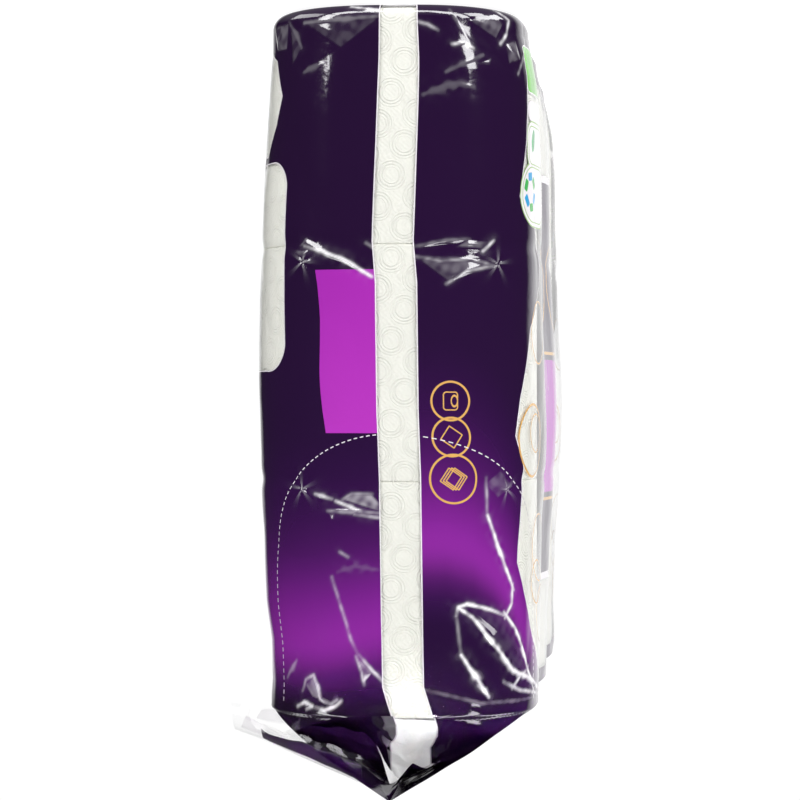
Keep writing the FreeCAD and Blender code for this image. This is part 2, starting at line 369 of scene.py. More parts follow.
def relief(u, z):
    """How far the film stands out from the rolls' wrap, in millimetres."""
    height = 0.45 * np.abs(waves(u, z, *WALL_SWELL)) + 0.05 * waves(u, z, *WALL_RIPPLE)
    height = height + front_bulge((u + ROUND / 4) % ROUND - ROUND / 4, z)
    for joint in JOINTS:
        near = np.abs(z - joint)
        away = smooth((np.abs(u) - 30) / 25)
        height = height - (0.3 + 0.3 * away) * np.exp(-(near / 3.4) ** 2)
    for places, lit, back, slope, _, _ in CREASES:
        height = height + CREASE_SHARE * fold(u, z, on_film(places), lit, back, slope)
    for places, slopes, _ in PATCHES:
        height = height + CREASE_SHARE * facet(u, z, on_film(places), slopes)
    for index, (u0, z0) in enumerate(on_film(STARS)):
        du, dz = u - u0, z - z0
        far = np.hypot(du, dz)
        rays = np.cos(5 * np.arctan2(dz, du) + index)
        height = height + (0.45 * rays + 0.2) * np.clip(far / 1.5, 0, 1) * np.exp(-far / 2.4)
    return height


LEAST_WHITE = 0.6           # narrowest whitening that the film's mesh can show


def painted_highlights(u, z):
    """Painted highlight and sheen on the film at u, z, 0 to 1: white lines along the creases with a
    faint halo, grey sheen over the patches and white rays at the star puckers.
    """
    mottled = 0.5 + 0.5 * np.clip(waves(u, z, *MOTTLE), -1, 1)
    total = np.zeros(np.broadcast(u, z).shape)
    for places, _, _, _, white, wide in CREASES:
        distance = np.full(total.shape, FAR_OFF)
        share = np.zeros(total.shape)
        for far, way, _ in stretches(u, z, on_film(places)):
            share = np.where(far < distance, way, share)
            distance = np.minimum(distance, far)
        width = wide * (0.45 + 0.55 * np.sin(math.pi * share)) * (0.6 + 0.75 * mottled)
        strength = white * np.minimum(width / LEAST_WHITE, 1) * (0.8 + 0.2 * mottled)
        near = np.exp(-(distance / np.maximum(width, LEAST_WHITE)) ** 2)
        line = strength * np.clip(1.3 * near, 0, 1)
        # a faint painted sheen beside each crease's painted highlight
        line = line + 0.05 * white * mottled * np.exp(-(distance / (3.5 * wide)) ** 2)
        total = np.maximum(total, line)
    for places, slopes, painted_sheen in PATCHES:
        inside = facet(u, z, on_film(places), [1.0] * len(slopes))
        total = np.maximum(total, painted_sheen * smooth(inside / 0.9) * (0.25 + 0.95 * mottled))
    # painted white rays round the star puckers, as highlights
    for index, (u0, z0) in enumerate(on_film(STARS)):
        far = np.hypot(u - u0, z - z0)
        rays = np.cos(5 * np.arctan2(z - z0, u - u0) + index)
        total = np.maximum(total, 0.8 * smooth(rays * 2.2 - 1.0) * np.exp(-far / 1.6))
    return total


def fold_heights(u):
    """Heights of the closed end's slopes and of its tucked-in sides, over the wall at u."""
    x, y, _, _ = around(u)
    return RIDGE - np.abs(y) * ROOF_SLOPE, EAVE + (END_REACH - np.abs(x)) * GUSSET_SLOPE


def wall_top(u):
    """Height at which the wall's film folds over, into a slope or a tucked-in side."""
    return np.minimum(*fold_heights(u))


def wall(u, v):
    """Places of the wall's film; v is the height, and runs on round the flat end's rim."""
    x, y, nx, ny = around(u)
    turn = np.clip((RIM_ROUND - v) / RIM_ROUND, 0, math.pi / 2)
    z = np.where(v < RIM_ROUND, RIM_ROUND * (1 - np.sin(turn)), v)
    out = -RIM_ROUND * (1 - np.cos(turn))
    over = np.clip(v - (ROLLS_TOP - TOP_ROUND), 0, TOP_ROUND)
    out = out - (TOP_ROUND - np.sqrt(TOP_ROUND ** 2 - over ** 2))
    room = 0.35 + sum(1.6 * np.exp(-((z - joint) / 2.4) ** 2) for joint in JOINTS)
    stand = np.maximum(relief(u, z), -room)
    stand = stand * smooth((v + 6) / 12) * smooth((wall_top(u) - v) / 6)
    return np.stack([x + nx * (out + stand), drawn_in(y + ny * (out + stand), z), z], -1)


# Print on the film, in film millimetres. It follows how the film has crept sideways.
UV_UNIT = 100.0
CREEP_HEIGHTS = (22, 79, 96, 113, 165, 192, 254, 276, 290)
CREEP_SHIFTS = (0.0, -2.0, -2.6, -1.2, -0.6, 0.4, 1.2, 1.6, 6.0)


def placed(x, y, z, u, v):
    """A grid's places, and the places of its print at u, v."""
    x, y, z, u, v = np.broadcast_arrays(x, y, z, u, v)
    return np.stack([x, y, z], -1), np.stack([u, v], -1) / UV_UNIT


def print_place(u, v):
    """UV of the film at u, v. Only the near side's print has crept."""
    creep = np.interp(v, CREEP_HEIGHTS, CREEP_SHIFTS) * np.exp(-(u / 45) ** 4)
    return np.stack([u - creep, v], -1) / UV_UNIT


def grid_index(places, closed):
    """Numbers of a grid's points; where it is closed, its last column is its first again."""
    index = np.arange(places.shape[0] * places.shape[1]).reshape(places.shape[:2])
    return np.concatenate([index, index[:, :1]], 1) if closed else index


def quads(index):
    faces = np.stack([index[:-1, :-1], index[:-1, 1:], index[1:, 1:], index[1:, :-1]], -1)
    return faces.reshape(-1, 4)


def add_piece(name, places, faces, material):
    """Smooth mesh object of places, in millimetres, and faces."""
    mesh = bpy.data.meshes.new(name)
    mesh.from_pydata((places.reshape(-1, 3) * MM).tolist(), [], faces.tolist())
    mesh.shade_smooth()
    mesh.materials.append(material)
    return add_object(name, mesh)


def grid_object(name, places, prints, material, closed=False, inside=PACK_MIDDLE, white=None):
    """Film of a grid of places, rows by columns, facing away from the inside."""
    faces = quads(grid_index(places, closed))
    corners = places.reshape(-1, 3)[faces]
    facing = np.cross(corners[:, 2] - corners[:, 0], corners[:, 3] - corners[:, 1])
    if np.sum(facing * (corners.mean(1) - np.array(inside))) < 0:
        faces = faces[:, ::-1]
    piece = add_piece(name, places, faces, material)
    layer = piece.data.uv_layers.new(name="print")
    layer.data.foreach_set("uv", prints.reshape(-1, 2)[faces.reshape(-1)].reshape(-1))
    # white: the painted highlights and sheen of the creases, kept on the points as an attribute
    if white is not None:
        layer = piece.data.attributes.new("painted_highlights", "FLOAT", "POINT")
        layer.data.foreach_set("value", white.reshape(-1))
    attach(piece, "root")
    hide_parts("film_wrap")


NEAR_HALF = 96.0
NEAR_STEP = 0.52
FAR_STEP = 2.6
RIM_START = RIM_ROUND * (1 - math.pi / 2)
BEND_START = 268.0


def wall_grid(start, stop, step):
    """Grid of the wall's film from start to stop round the pack, with its u and v."""
    columns = np.linspace(start, stop, int((stop - start) / step) + 1)
    rows = np.arange(RIM_START, BEND_START, step)
    top_rows = np.linspace(0, 1, int((EAVE - BEND_START) / step) + 2)
    u = columns[None, :]
    top = BEND_START + (wall_top(u) - BEND_START) * top_rows[:, None]
    v = np.concatenate([np.repeat(rows[:, None], len(columns), 1), top], 0)
    u = np.repeat(u, len(v), 0)
    return wall(u, v), print_place(u, v), u, v


def srgb(red, green, blue):
    def linear(c):
        c = c / 255
        return c / 12.92 if c <= 0.04045 else ((c + 0.055) / 1.055) ** 2.4
    return (linear(red), linear(green), linear(blue), 1.0)


def fill(tree, node, inputs):
    """Gives a node's inputs what they take: a number, a colour, or another node's output."""
    for name, value in inputs.items():
        value = value.out if isinstance(value, Number) else value
        if isinstance(value, bpy.types.NodeSocket):
            tree.links.new(value, node.inputs[name])
        else:
            node.inputs[name].default_value = value


class Number:
    """A number in a material's node tree, which plain arithmetic combines."""

    def __init__(self, tree, out):
        self.tree, self.out = tree, out

    def math(self, operation, *others, clamp=False):
        node = self.tree.nodes.new("ShaderNodeMath")
        node.operation = operation
        node.use_clamp = clamp
        fill(self.tree, node, dict(enumerate((self,) + others)))
        return Number(self.tree, node.outputs[0])

    def __add__(self, other):
        return self.math("ADD", other)

    def __sub__(self, other):
        return self.math("SUBTRACT", other)

    def __mul__(self, other):
        return self.math("MULTIPLY", other)

    def __truediv__(self, other):
        return self.math("DIVIDE", other)

    def inverse(self):
        """1 less the number."""
        return self * -1.0 + 1.0

    def magnitude(self):
        return self.math("ABSOLUTE")

    def least(self, other):
        return self.math("MINIMUM", other)

    def most(self, other):
        return self.math("MAXIMUM", other)

    def below(self, edge, soft=0.15):
        """1 below the edge and 0 above it, over a soft width in millimetres."""
        if isinstance(edge, Number):
            return ((edge - self) / soft).math("ADD", 0.5, clamp=True)
        return self.math("MULTIPLY_ADD", -1 / soft, edge / soft + 0.5, clamp=True)

    def above(self, edge, soft=0.15):
        return self.math("MULTIPLY_ADD", 1 / soft, 0.5 - edge / soft, clamp=True)

    def within(self, low, high, soft=0.15):
        return self.above(low, soft) * self.below(high, soft)


def far_from(a, b):
    """Length of the vector of two numbers."""
    return (a * a + b * b).math("SQRT")


def ring(u, v, centre, radius, half_width):
    """1 on the line of a circle."""
    return (far_from(u - centre[0], v - centre[1]) - radius).magnitude().below(half_width)


def rounded_box(u, v, centre, half, corner):
    """Signed distance of (u, v) from a rounded box: negative inside."""
    du = (u - centre[0]).magnitude() - (half[0] - corner)
    dv = (v - centre[1]).magnitude() - (half[1] - corner)
    outside = far_from(du.most(0.0), dv.most(0.0))
    return outside + du.most(dv).least(0.0) - corner


def turned(u, v, centre, angle):
    """(u, v) in axes turned about a centre."""
    c, s = math.cos(angle), math.sin(angle)
    a, b = u - centre[0], v - centre[1]
    return a * c + b * s, b * c - a * s


class Paint:
    """Colour of a surface, to which layers are added."""

    def __init__(self, tree, start):
        self.tree, self.out = tree, start

    def layer(self, colour, mask):
        mix = self.tree.nodes.new("ShaderNodeMix")
        mix.data_type = "RGBA"
        fill(self.tree, mix, {"Factor": mask, "A": self.out, "B": colour})
        self.out = mix.outputs["Result"]


def empty_tree(owner):
    """Node tree of a material or a world, emptied."""
    owner.use_nodes = True
    owner.node_tree.nodes.clear()
    return owner.node_tree


def new_material(name):
    material = bpy.data.materials.new(name)
    tree = empty_tree(material)
    output = tree.nodes.new("ShaderNodeOutputMaterial")
    shader = tree.nodes.new("ShaderNodeBsdfPrincipled")
    fill(tree, output, {"Surface": shader.outputs["BSDF"]})
    return material, tree, shader, output


def ramp(tree, value, stops, interpolation="B_SPLINE"):
    """Colour ramp over (place, colour) stops."""
    low, high = stops[0][0], stops[-1][0]
    node = tree.nodes.new("ShaderNodeValToRGB")
    node.color_ramp.interpolation = interpolation
    elements = node.color_ramp.elements
    elements[0].color, elements[-1].color = stops[0][1], stops[-1][1]
    for place, colour in stops[1:-1]:
        elements.new((place - low) / (high - low)).color = colour
    fill(tree, node, {"Fac": (value - low) / (high - low)})
    return node.outputs["Color"]


def coordinates(tree, kind):
    return tree.nodes.new("ShaderNodeTexCoord").outputs[kind]


def noise(tree, scale, detail):
    node = tree.nodes.new("ShaderNodeTexNoise")
    fill(tree, node, {"Scale": scale, "Detail": detail, "Vector": coordinates(tree, "Object")})
    return Number(tree, node.outputs["Fac"])


def bump(tree, shader, height, distance):
    node = tree.nodes.new("ShaderNodeBump")
    fill(tree, node, {"Distance": distance * MM, "Height": height})
    fill(tree, shader, {"Normal": node.outputs["Normal"]})


def parts(tree, vector):
    """x, y and z of a vector."""
    node = tree.nodes.new("ShaderNodeSeparateXYZ")
    fill(tree, node, {0: vector})
    return [Number(tree, out) for out in node.outputs]


# Places of the print, in film millimetres
STRIP = (-4.1, 11.9)                    # clear window down the narrow side
STRIP_LINE = 0.5
PANEL_PX = ((314, 270), (378, 270), (322, 433), (377, 433))
RINGS_PX = (((452, 401), 7.8), ((452, 437), 7.8), ((453, 479), 9.8))
# Middle, half size and corner radius of the back's two clear fields
BACK_WINDOW = ((-105.0, 105.3), (58.0, 42.7), 11.0)
BACK_CORNER = ((-82.0, 36.0), (30.0, 23.0), 3.0)
TEAR_MIDDLE = 232.0
TEAR_HALF = (55.5, 75.0)
TEAR_RISE = 58.0
GOLD = srgb(222, 172, 96)
WHITE_INK = srgb(240, 235, 240)
PLAIN_WHITE = (1.0, 1.0, 1.0, 1.0)
# Height at which the ink is lightest, by the distance round from the narrow side's middle
GLOW = ((-90, 262), (-60, 261), (-30, 259), (-4, 254), (-1, 250), (9, 222), (12, 219), (22, 219),
        (34, 223), (44, 230), (54, 241), (64, 256), (90, 262))
# Edge of the front's clear field: height, and distance round from the narrow side's middle
FRONT_EDGE = ((16, 95), (18, 72), (35, 69), (52, 67), (77, 61), (85, 74), (100, 90), (112, 90),
              (130, 72), (159, 61), (175, 58), (188, 64), (201, 62), (227, 59), (241, 65),
              (258, 74), (278, 92), (282, 110))
# The same of the back's smaller field, towards the narrow side
BACK_EDGE = ((14, 76), (20, 62), (35, 54.5), (47, 59), (59, 68))
# Rings at the front's edge: middle, radius and width
EDGE_RINGS = (((75.0, 177.0), 15.0, 1.1), ((79.0, 174.0), 8.0, 0.7), ((88.0, 222.0), 14.0, 0.8),
              ((82.0, 236.0), 9.0, 0.8), ((94.0, 250.0), 12.0, 0.8), ((86.0, 132.0), 13.0, 0.8))
# The front's label and its arch: height of the middle, half size and corner radius
LABEL = (150.0, (84.0, 92.0), 30.0)
LABEL_ARCH = (172.0, (70.0, 30.0), 18.0)
LABEL_RINGS = (108.0, 19.0, 45.0)       # height, radius, pitch
LABEL_LINE = 0.7                        # half the width of the label's gold lines
FIN_BAND = (11.0, 3.3)      # printed band's edges, in from the sealed edge's ends
CURVE_SCALE = 128.0         # more than any number that a curve holds
GLOW_BASE = 200.0


def curve(tree, value, points):
    """Number that follows straight lines between points: the value, and the number there."""
    stops = [(place, (number / CURVE_SCALE,) * 3 + (1.0,)) for place, number in points]
    return Number(tree, ramp(tree, value, stops, "LINEAR")) * CURVE_SCALE


def gold_rings(u, v):
    """Three gold rings in a row, each with a plain picture drawn in lines: roll, sheet and stack."""
    places = on_film([place for place, _ in RINGS_PX])
    marks = [ring(u, v, place, radius, 0.42) for place, (_, radius) in zip(places, RINGS_PX)]
    marks = functools.reduce(Number.most, marks)
    roll_u, roll_v = places[0]
    side = rounded_box(u, v, (roll_u, roll_v), (2.9, 3.6), 1.2).magnitude().below(0.25)
    mouth = far_from(u - roll_u - 1.6, (v - roll_v) * 0.6).math("SUBTRACT", 1.3).magnitude()
    marks = marks.most(side).most(mouth.below(0.25))
    for number, (cu, cv) in enumerate(places[1:]):
        for step in range(1 + 2 * number):
            a, b = turned(u, v, (cu - 1.2 * number + step * 1.2, cv), 0.6)
            marks = marks.most(rounded_box(a, b, (0, 0), (3.2, 3.2), 0.2).magnitude().below(0.25))
    return marks


def tear_line(u, v):
    """Dashed perforation, an arch round the closed end of each narrow side."""
    wide = u.below(0.0, 1.0) * (1 / TEAR_HALF[0] - 1 / TEAR_HALF[1]) + 1 / TEAR_HALF[1]
    a = u * wide
    b = ((v * -1.0 + TEAR_MIDDLE) / TEAR_RISE).most(0.0)
    line = ((far_from(a, b) - 1.0) * 60.0).magnitude().below(0.2, 0.2)
    straight = (v - TEAR_MIDDLE).most(0.0)
    along = a.magnitude().math("ARCTAN2", b) * 62.0 + straight
    dashes = (along * (2 * math.pi / 2.9)).math("SINE").above(-0.2, 0.5)
    return line * dashes * v.below(EAVE - 3)


def edge_marks(u, v, ink):
    """Plain coloured marks down the front's edge. Returns where they are."""
    green = rounded_box(u, v, (85.0, 23.0), (15.0, 9.5), 2.5)
    capsule = rounded_box(u, v, (86.0, 40.3), (17.0, 3.6), 3.4)
    upper = rounded_box(u, v, (84.0, 54.5), (16.5, 9.5), 6.0)
    lower = rounded_box(u, v, (81.0, 75.0), (19.5, 13.0), 12.5)
    patch = upper.least(lower)
    ink.layer(srgb(150, 190, 110), patch.below(0.6))
    ink.layer(WHITE_INK, patch.below(0.0).most(capsule.below(0.0)).most(green.below(0.5)))
    ink.layer(srgb(96, 190, 50), green.below(0.0))
    ink.layer(srgb(150, 190, 110), (patch + 1.6).magnitude().below(0.25))
    leaf_u, leaf_v = turned(u, v, (76.0, 52.5), 0.35)
    leaf = far_from(leaf_u * 1.9, leaf_v) - 5.0
    ink.layer(srgb(40, 165, 95), leaf.below(0.0))
    for number in range(6):
        turn = number * math.pi / 3 + 0.4
        at = (72.0 + 5.6 * math.cos(turn), 74.0 + 6.4 * math.sin(turn))
        a, b = turned(u, v, at, turn)
        colour = srgb(60, 175, 80) if number % 2 else srgb(40, 160, 215)
        ink.layer(colour, rounded_box(a, b, (0, 0), (1.7, 2.5), 0.8).below(0.0))
    rings = [ring(u, v, centre, radius, wide / 2) for centre, radius, wide in EDGE_RINGS]
    gold = functools.reduce(Number.most, rings)
    ink.layer(GOLD, gold)
    return patch.least(capsule).least(green).below(0.6).most(gold)


def film_material():
    """Glossy printed film, clear where it has no ink, with painted highlights and sheen along its
    creases, painted shade in the closed end's pocket and a painted glow on the strip there.
    """
    material, tree, shader, output = new_material("printed_film")
    uv = tree.nodes.new("ShaderNodeUVMap")
    uv.uv_map = "print"
    u, v, _ = parts(tree, uv.outputs["UV"])
    quarter = ROUND / 4
    # Mirrored at the broad sides' middles
    u = (u * UV_UNIT + quarter).math("PINGPONG", 2 * quarter) - quarter
    v = v * UV_UNIT

    # Ink: deep purple that lightens to magenta below the closed end
    peak = curve(tree, u, [(at, height - GLOW_BASE) for at, height in GLOW]) + GLOW_BASE
    ink = Paint(tree, ramp(tree, v - peak, [
        (-240, srgb(34, 13, 47)), (-84, srgb(37, 14, 52)), (-56, srgb(48, 15, 67)),
        (-36, srgb(70, 21, 90)), (-22, srgb(104, 29, 124)), (-10, srgb(128, 36, 146)),
        (0, srgb(140, 42, 157)), (7, srgb(116, 36, 132)), (13, srgb(80, 25, 98)),
        (21, srgb(50, 17, 70)), (32, srgb(37, 12, 53)), (90, srgb(33, 12, 46))]))

    # Painted shade: the ink darkens round the eave and over the closed end's pocket, on its back half,
    # where the pocket lies in shadow
    painted_pocket_shade = v.within(EAVE - 7.0, EAVE + 16.0, 9.0) * u.below(-3.0)
    ink.layer(srgb(18, 8, 22), painted_pocket_shade * 0.75)

    corners = on_film(PANEL_PX)
    left = u - (v - corners[0][1]) * ((corners[2][0] - corners[0][0])
                                      / (corners[2][1] - corners[0][1])) - (corners[0][0] + 2.0)
    wave = ((v - corners[0][1]) * (math.pi / 33)).math("SINE") * 1.2
    panel = (left - wave * 0.6).above(0.0) * (left - wave * 0.5).below(corners[1][0] - corners[0][0])
    panel = panel * v.within(corners[0][1], corners[2][1])
    magenta = ramp(tree, v, [(corners[0][1], srgb(160, 40, 170)),
                              (corners[2][1], srgb(184, 58, 190))])
    ink.layer(magenta, panel)
    ink.layer(GOLD, gold_rings(u, v))

    strip = u.within(*STRIP)
    edge = u.within(STRIP[0] - STRIP_LINE, STRIP[1] + STRIP_LINE)
    dashes = tear_line(u, v)
    ink.layer(WHITE_INK, edge.most(dashes))

    corner_gap = (u + curve(tree, v, BACK_EDGE)).most(rounded_box(u, v, *BACK_CORNER))
    window = rounded_box(u, v, *BACK_WINDOW).least(corner_gap)
    ink.layer(WHITE_INK, window.below(0.5))

    inside = u - curve(tree, v, FRONT_EDGE)
    field = v.within(FRONT_EDGE[0][0], FRONT_EDGE[-1][0])
    label = rounded_box(u, v, (quarter, LABEL[0]), *LABEL[1:])
    front = inside.above(0.0) * field * dashes.inverse() * label.above(0.0)
    ink.layer(WHITE_INK, inside.above(-0.7) * field)
    ink.layer(WHITE_INK, label.within(-3.2, 0.0))
    ink.layer(srgb(46, 21, 62), label.below(-3.2))
    arch = rounded_box(u, v, (quarter, LABEL_ARCH[0]), *LABEL_ARCH[1:])
    ink.layer(magenta, arch.below(0.0))
    ink.layer(GOLD, (arch - 3.0).magnitude().below(LABEL_LINE))
    height, radius, pitch = LABEL_RINGS
    for place in (-1, 0, 1):
        ink.layer(GOLD, ring(u, v, (quarter + place * pitch, height), radius, LABEL_LINE))
    front = front * edge_marks(u, v, ink).inverse()

    # Painted highlights: the creases' white lines and the patches' grey sheen, mixed into the ink's
    # colour
    creased = tree.nodes.new("ShaderNodeAttribute")
    creased.attribute_name = "painted_highlights"
    ink.layer(srgb(252, 250, 253), Number(tree, creased.outputs["Fac"]).math("ADD", 0.0, clamp=True))

    clear = (strip.most(window.below(0.0)) * v.above(-8.0)).most(front)
    on_fin = v.above(RIDGE + 20.0)
    end_band = u.magnitude().within(END_REACH - FIN_BAND[0], END_REACH - FIN_BAND[1])
    end_band = end_band * v.within(RIDGE + 38.0, RIDGE + 82.0)
    clear = (clear * on_fin.inverse()).most(on_fin * end_band.inverse())
    # Where the clear strip runs on into the closed end's pocket, past the paper, it is made opaque
    # white and given a painted glow, standing in for light in the pocket's shade
    glowing_pocket_strip = v.above(ROLLS_TOP + 0.3, 0.8) * strip * on_fin.inverse()

    weight = tree.nodes.new("ShaderNodeLayerWeight")
    fill(tree, weight, {"Blend": 0.5})
    facing = Number(tree, weight.outputs["Facing"])
    glint = (facing.math("POWER", 4.0) * 0.85 + 0.08) * (on_fin * -0.6 + 1.0)
    cover = clear.inverse() + clear * glint.most(glowing_pocket_strip * 0.82)
    transparent = tree.nodes.new("ShaderNodeBsdfTransparent")
    mix = tree.nodes.new("ShaderNodeMixShader")
    fill(tree, mix, {"Fac": cover, 1: transparent.outputs[0], 2: shader.outputs[0]})
    fill(tree, output, {"Surface": mix.outputs[0]})
    ink.layer((0.95, 0.95, 0.95, 1.0), clear)
    # the pocket strip's emission is painted light
    fill(tree, shader, {"Base Color": ink.out, "Metallic": clear * glowing_pocket_strip.inverse(),
                        "Emission Strength": glowing_pocket_strip * 0.36, "Emission Color": PLAIN_WHITE,
                        "Roughness": 0.09, "IOR": 1.55, "Specular IOR Level": 1.0})
    bump(tree, shader, noise(tree, 160.0, 4.0), 0.12)
    return material


RING_STEPS = ((5.3, -12.5), (10.6, 8.4))    # from one embossed ring to its neighbours
RING_START = (5.9, 123.6)


def paper_material(name, middle):
    """Embossed tissue, wound about an upright axis at x = middle."""
    material, tree, shader, _ = new_material(name)
    x, y, z = parts(tree, coordinates(tree, "Object"))
    x = x - middle * MM
    across = y.math("ARCTAN2", x) * -HALF_WIDTH - RING_START[0]
    along = z * 1000.0 - RING_START[1]
    (pu, pv), (qu, qv) = RING_STEPS
    whole = pu * qv - pv * qu
    first = (across * (qv / whole) - along * (qu / whole)).math("ROUND")
    second = (along * (pu / whole) - across * (pv / whole)).math("ROUND")
    du = across - first * pu - second * qu
    dv = along - first * pv - second * qv
    far = far_from(du, dv)
    strength = far_from(x, y).above(0.0, 1.0)       # a little over a half
    rings = ((far - 5.8) * (2 * math.pi / 1.25)).math("COSINE") * far.within(2.9, 6.3, 0.5) * 0.8
    dots = ((across * 2.9 + (along * 0.9).math("SINE") * 1.5).math("SINE")
            * (along * 2.3).math("SINE")) * (far.above(6.4, 0.6).most(far.below(2.4, 0.5))) * 0.5
    height = (rings + dots) * strength + noise(tree, 700.0, 4.0) * 0.8
    bump(tree, shader, height, 0.26)
    fill(tree, shader, {"Base Color": srgb(239, 239, 231), "Roughness": 0.95, "Sheen Weight": 0.15})
    return material


def cardboard_material():
    material, tree, shader, _ = new_material("cardboard")
    grain = noise(tree, 500.0, 6.0)
    colour = ramp(tree, grain, [(0.0, srgb(150, 125, 96)), (1.0, srgb(205, 182, 150))])
    fill(tree, shader, {"Base Color": colour, "Roughness": 0.9})
    bump(tree, shader, grain, 0.1)
    return material


ARC_STEPS = 22


def winding_section():
    """Outline of one pressed roll's winding: its offsets x, y from the core's axis."""
    drop, centre, radius, face = roll_section()
    quarter = [arc(-drop, 0, ROLL_FACE_RADIUS, -face, face, ARC_STEPS),
               arc(centre, centre, radius, face, 90 - face, ARC_STEPS)]
    points = []
    for number in range(4):
        c, s = math.cos(number * math.pi / 2), math.sin(number * math.pi / 2)
        points += [np.stack([a * c - b * s, a * s + b * c]) for a, b in quarter]
    return np.concatenate(points, 1)


CORE_RADIUS = 21.1
JOINT_ROUND = 0.9           # of the paper's edge where rolls meet, and at the pack's ends
END_ROUND = 5.0
RINGS_ACROSS = (0.0, 0.1, 0.35, 0.7)    # of a roll's end, as shares from the core to the rim
ROUND_STEPS = 7
SIDE_STEPS = 26
CORE_KEEPS = 12.0           # width round the core over which the film's pull fades away


def make_winding(column, tier, material):
    """One roll's paper: its wound side, rounded rims, ends and the hole for the core."""
    x, y = winding_section()
    far = np.hypot(x, y)
    low = END_ROUND if tier == 0 else JOINT_ROUND
    high = END_ROUND if tier == ROLLS_HIGH - 1 else JOINT_ROUND
    turns = np.radians(np.linspace(0, 90, ROUND_STEPS))
    rings = [(CORE_RADIUS + (far - low - CORE_RADIUS) * share, 0.0) for share in RINGS_ACROSS]
    side = [(low * (math.sin(a) - 1), low * (1 - math.cos(a))) for a in turns]
    side += [(0.0, h) for h in np.linspace(low, ROLL_HEIGHT - high, SIDE_STEPS)[1:-1]]
    side += [(high * (math.sin(a) - 1), ROLL_HEIGHT - high * (1 - math.cos(a))) for a in turns[::-1]]
    rings += [(far + inset, h) for inset, h in side]
    rings += [(CORE_RADIUS + (far - high - CORE_RADIUS) * share, ROLL_HEIGHT)
              for share in RINGS_ACROSS[::-1]]
    grid = []
    for radius, h in rings:
        px, py = x / far * radius, y / far * radius
        z = np.full_like(px, FLOOR + tier * ROLL_HEIGHT + h)
        reach = smooth((np.hypot(px, py) - CORE_RADIUS) / CORE_KEEPS)
        grid.append(np.stack([px + (column - 1) * PITCH,
                              py + (drawn_in(py, z) - py) * reach, z], -1))
    grid.append(grid[0])
    places = np.array(grid)
    index = grid_index(places, closed=True)
    index[-1] = index[0]
    name = "roll_%d_%d" % (column + 1, tier + 1)
    piece = add_piece(name + "_winding", places[:-1], quads(index), material)
    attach(piece, "root")
    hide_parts(name + "_paper")


def dress_rolls():
    core = cardboard_material()
    for column in range(ROLLS_ACROSS):
        paper = paper_material("paper_%d" % (column + 1), (column - 1) * PITCH)
        for tier in range(ROLLS_HIGH):
            make_winding(column, tier, paper)
            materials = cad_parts["roll_%d_%d_core" % (column + 1, tier + 1)].data.materials
            materials.clear()
            materials.append(core)


def corner_u():
    """Film coordinate at which a slope's film meets a tucked-in side's: the pack's corner."""
    u = np.linspace(20, 90, 1401)
    return float(u[np.argmin(np.abs(np.subtract(*fold_heights(u))))])


CORNER = corner_u()
APEX_X = END_REACH - GUSSET_DEPTH
PRINT_UP_SLOPE = 52.0       # from the eave to the ridge, in the print's measure
SLOPE_COLUMNS = 170
SLOPE_ROWS = 46
END_BULGE = 5.3             # of the gable's two slanting edges, outwards


def slope_grid(side):
    """The closed end's slope over the front (side -1) or the back (side 1)."""
    t = np.linspace(0, 1, SLOPE_COLUMNS)
    u = CORNER + t * (ROUND / 2 - 2 * CORNER)
    foot = wall(-side * u, wall_top(u))
    up_slope = np.linspace(0, 1, SLOPE_ROWS)[:, None]
    x = foot[:, 0] * (1 - up_slope) + END_REACH * (1 - 2 * t) * up_slope
    y = foot[:, 1] * (1 - up_slope)
    z = foot[:, 2] * (1 - up_slope) + RIDGE * up_slope
    end_pull = np.exp(-(t / 0.08) ** 2) - np.exp(-((1 - t) / 0.08) ** 2)
    x = x + END_BULGE * 4 * up_slope * (1 - up_slope) * end_pull
    crumple = np.abs(waves(x, np.abs(y), *SLOPE_CRUMPLE)) * 1.2
    crumple = crumple + waves(x, y, *SLOPE_RIPPLE) * 0.15
    z = z + (crumple - 0.5) * np.sin(math.pi * up_slope) ** 0.7
    return placed(x, y, z, -side * u, EAVE + up_slope * PRINT_UP_SLOPE)


TUCK_COLUMNS = 121
TUCK_STEPS = 64
# The printed strip's wandering over the tucked-in side, from the rim to the ridge
TUCK_CREEP = ((0.0, 6.0), (0.12, 6.6), (0.25, 6.0), (0.42, 2.6), (0.6, 2.0), (0.8, 0.9), (1.0, 0.0))
# How far the tucked-in side's folds hang open, from the corner to the tip
BACK_HANG = ((0.0, 0.0), (0.06, 5.0), (0.26, 9.5), (0.43, 14.5), (0.74, 21.0), (0.9, 18.0),
             (1.0, 7.0))
FRONT_HANG = ((0.0, 0.0), (0.37, 1.0), (0.65, 5.0), (0.78, 9.0), (0.9, 7.0), (1.0, 3.0))


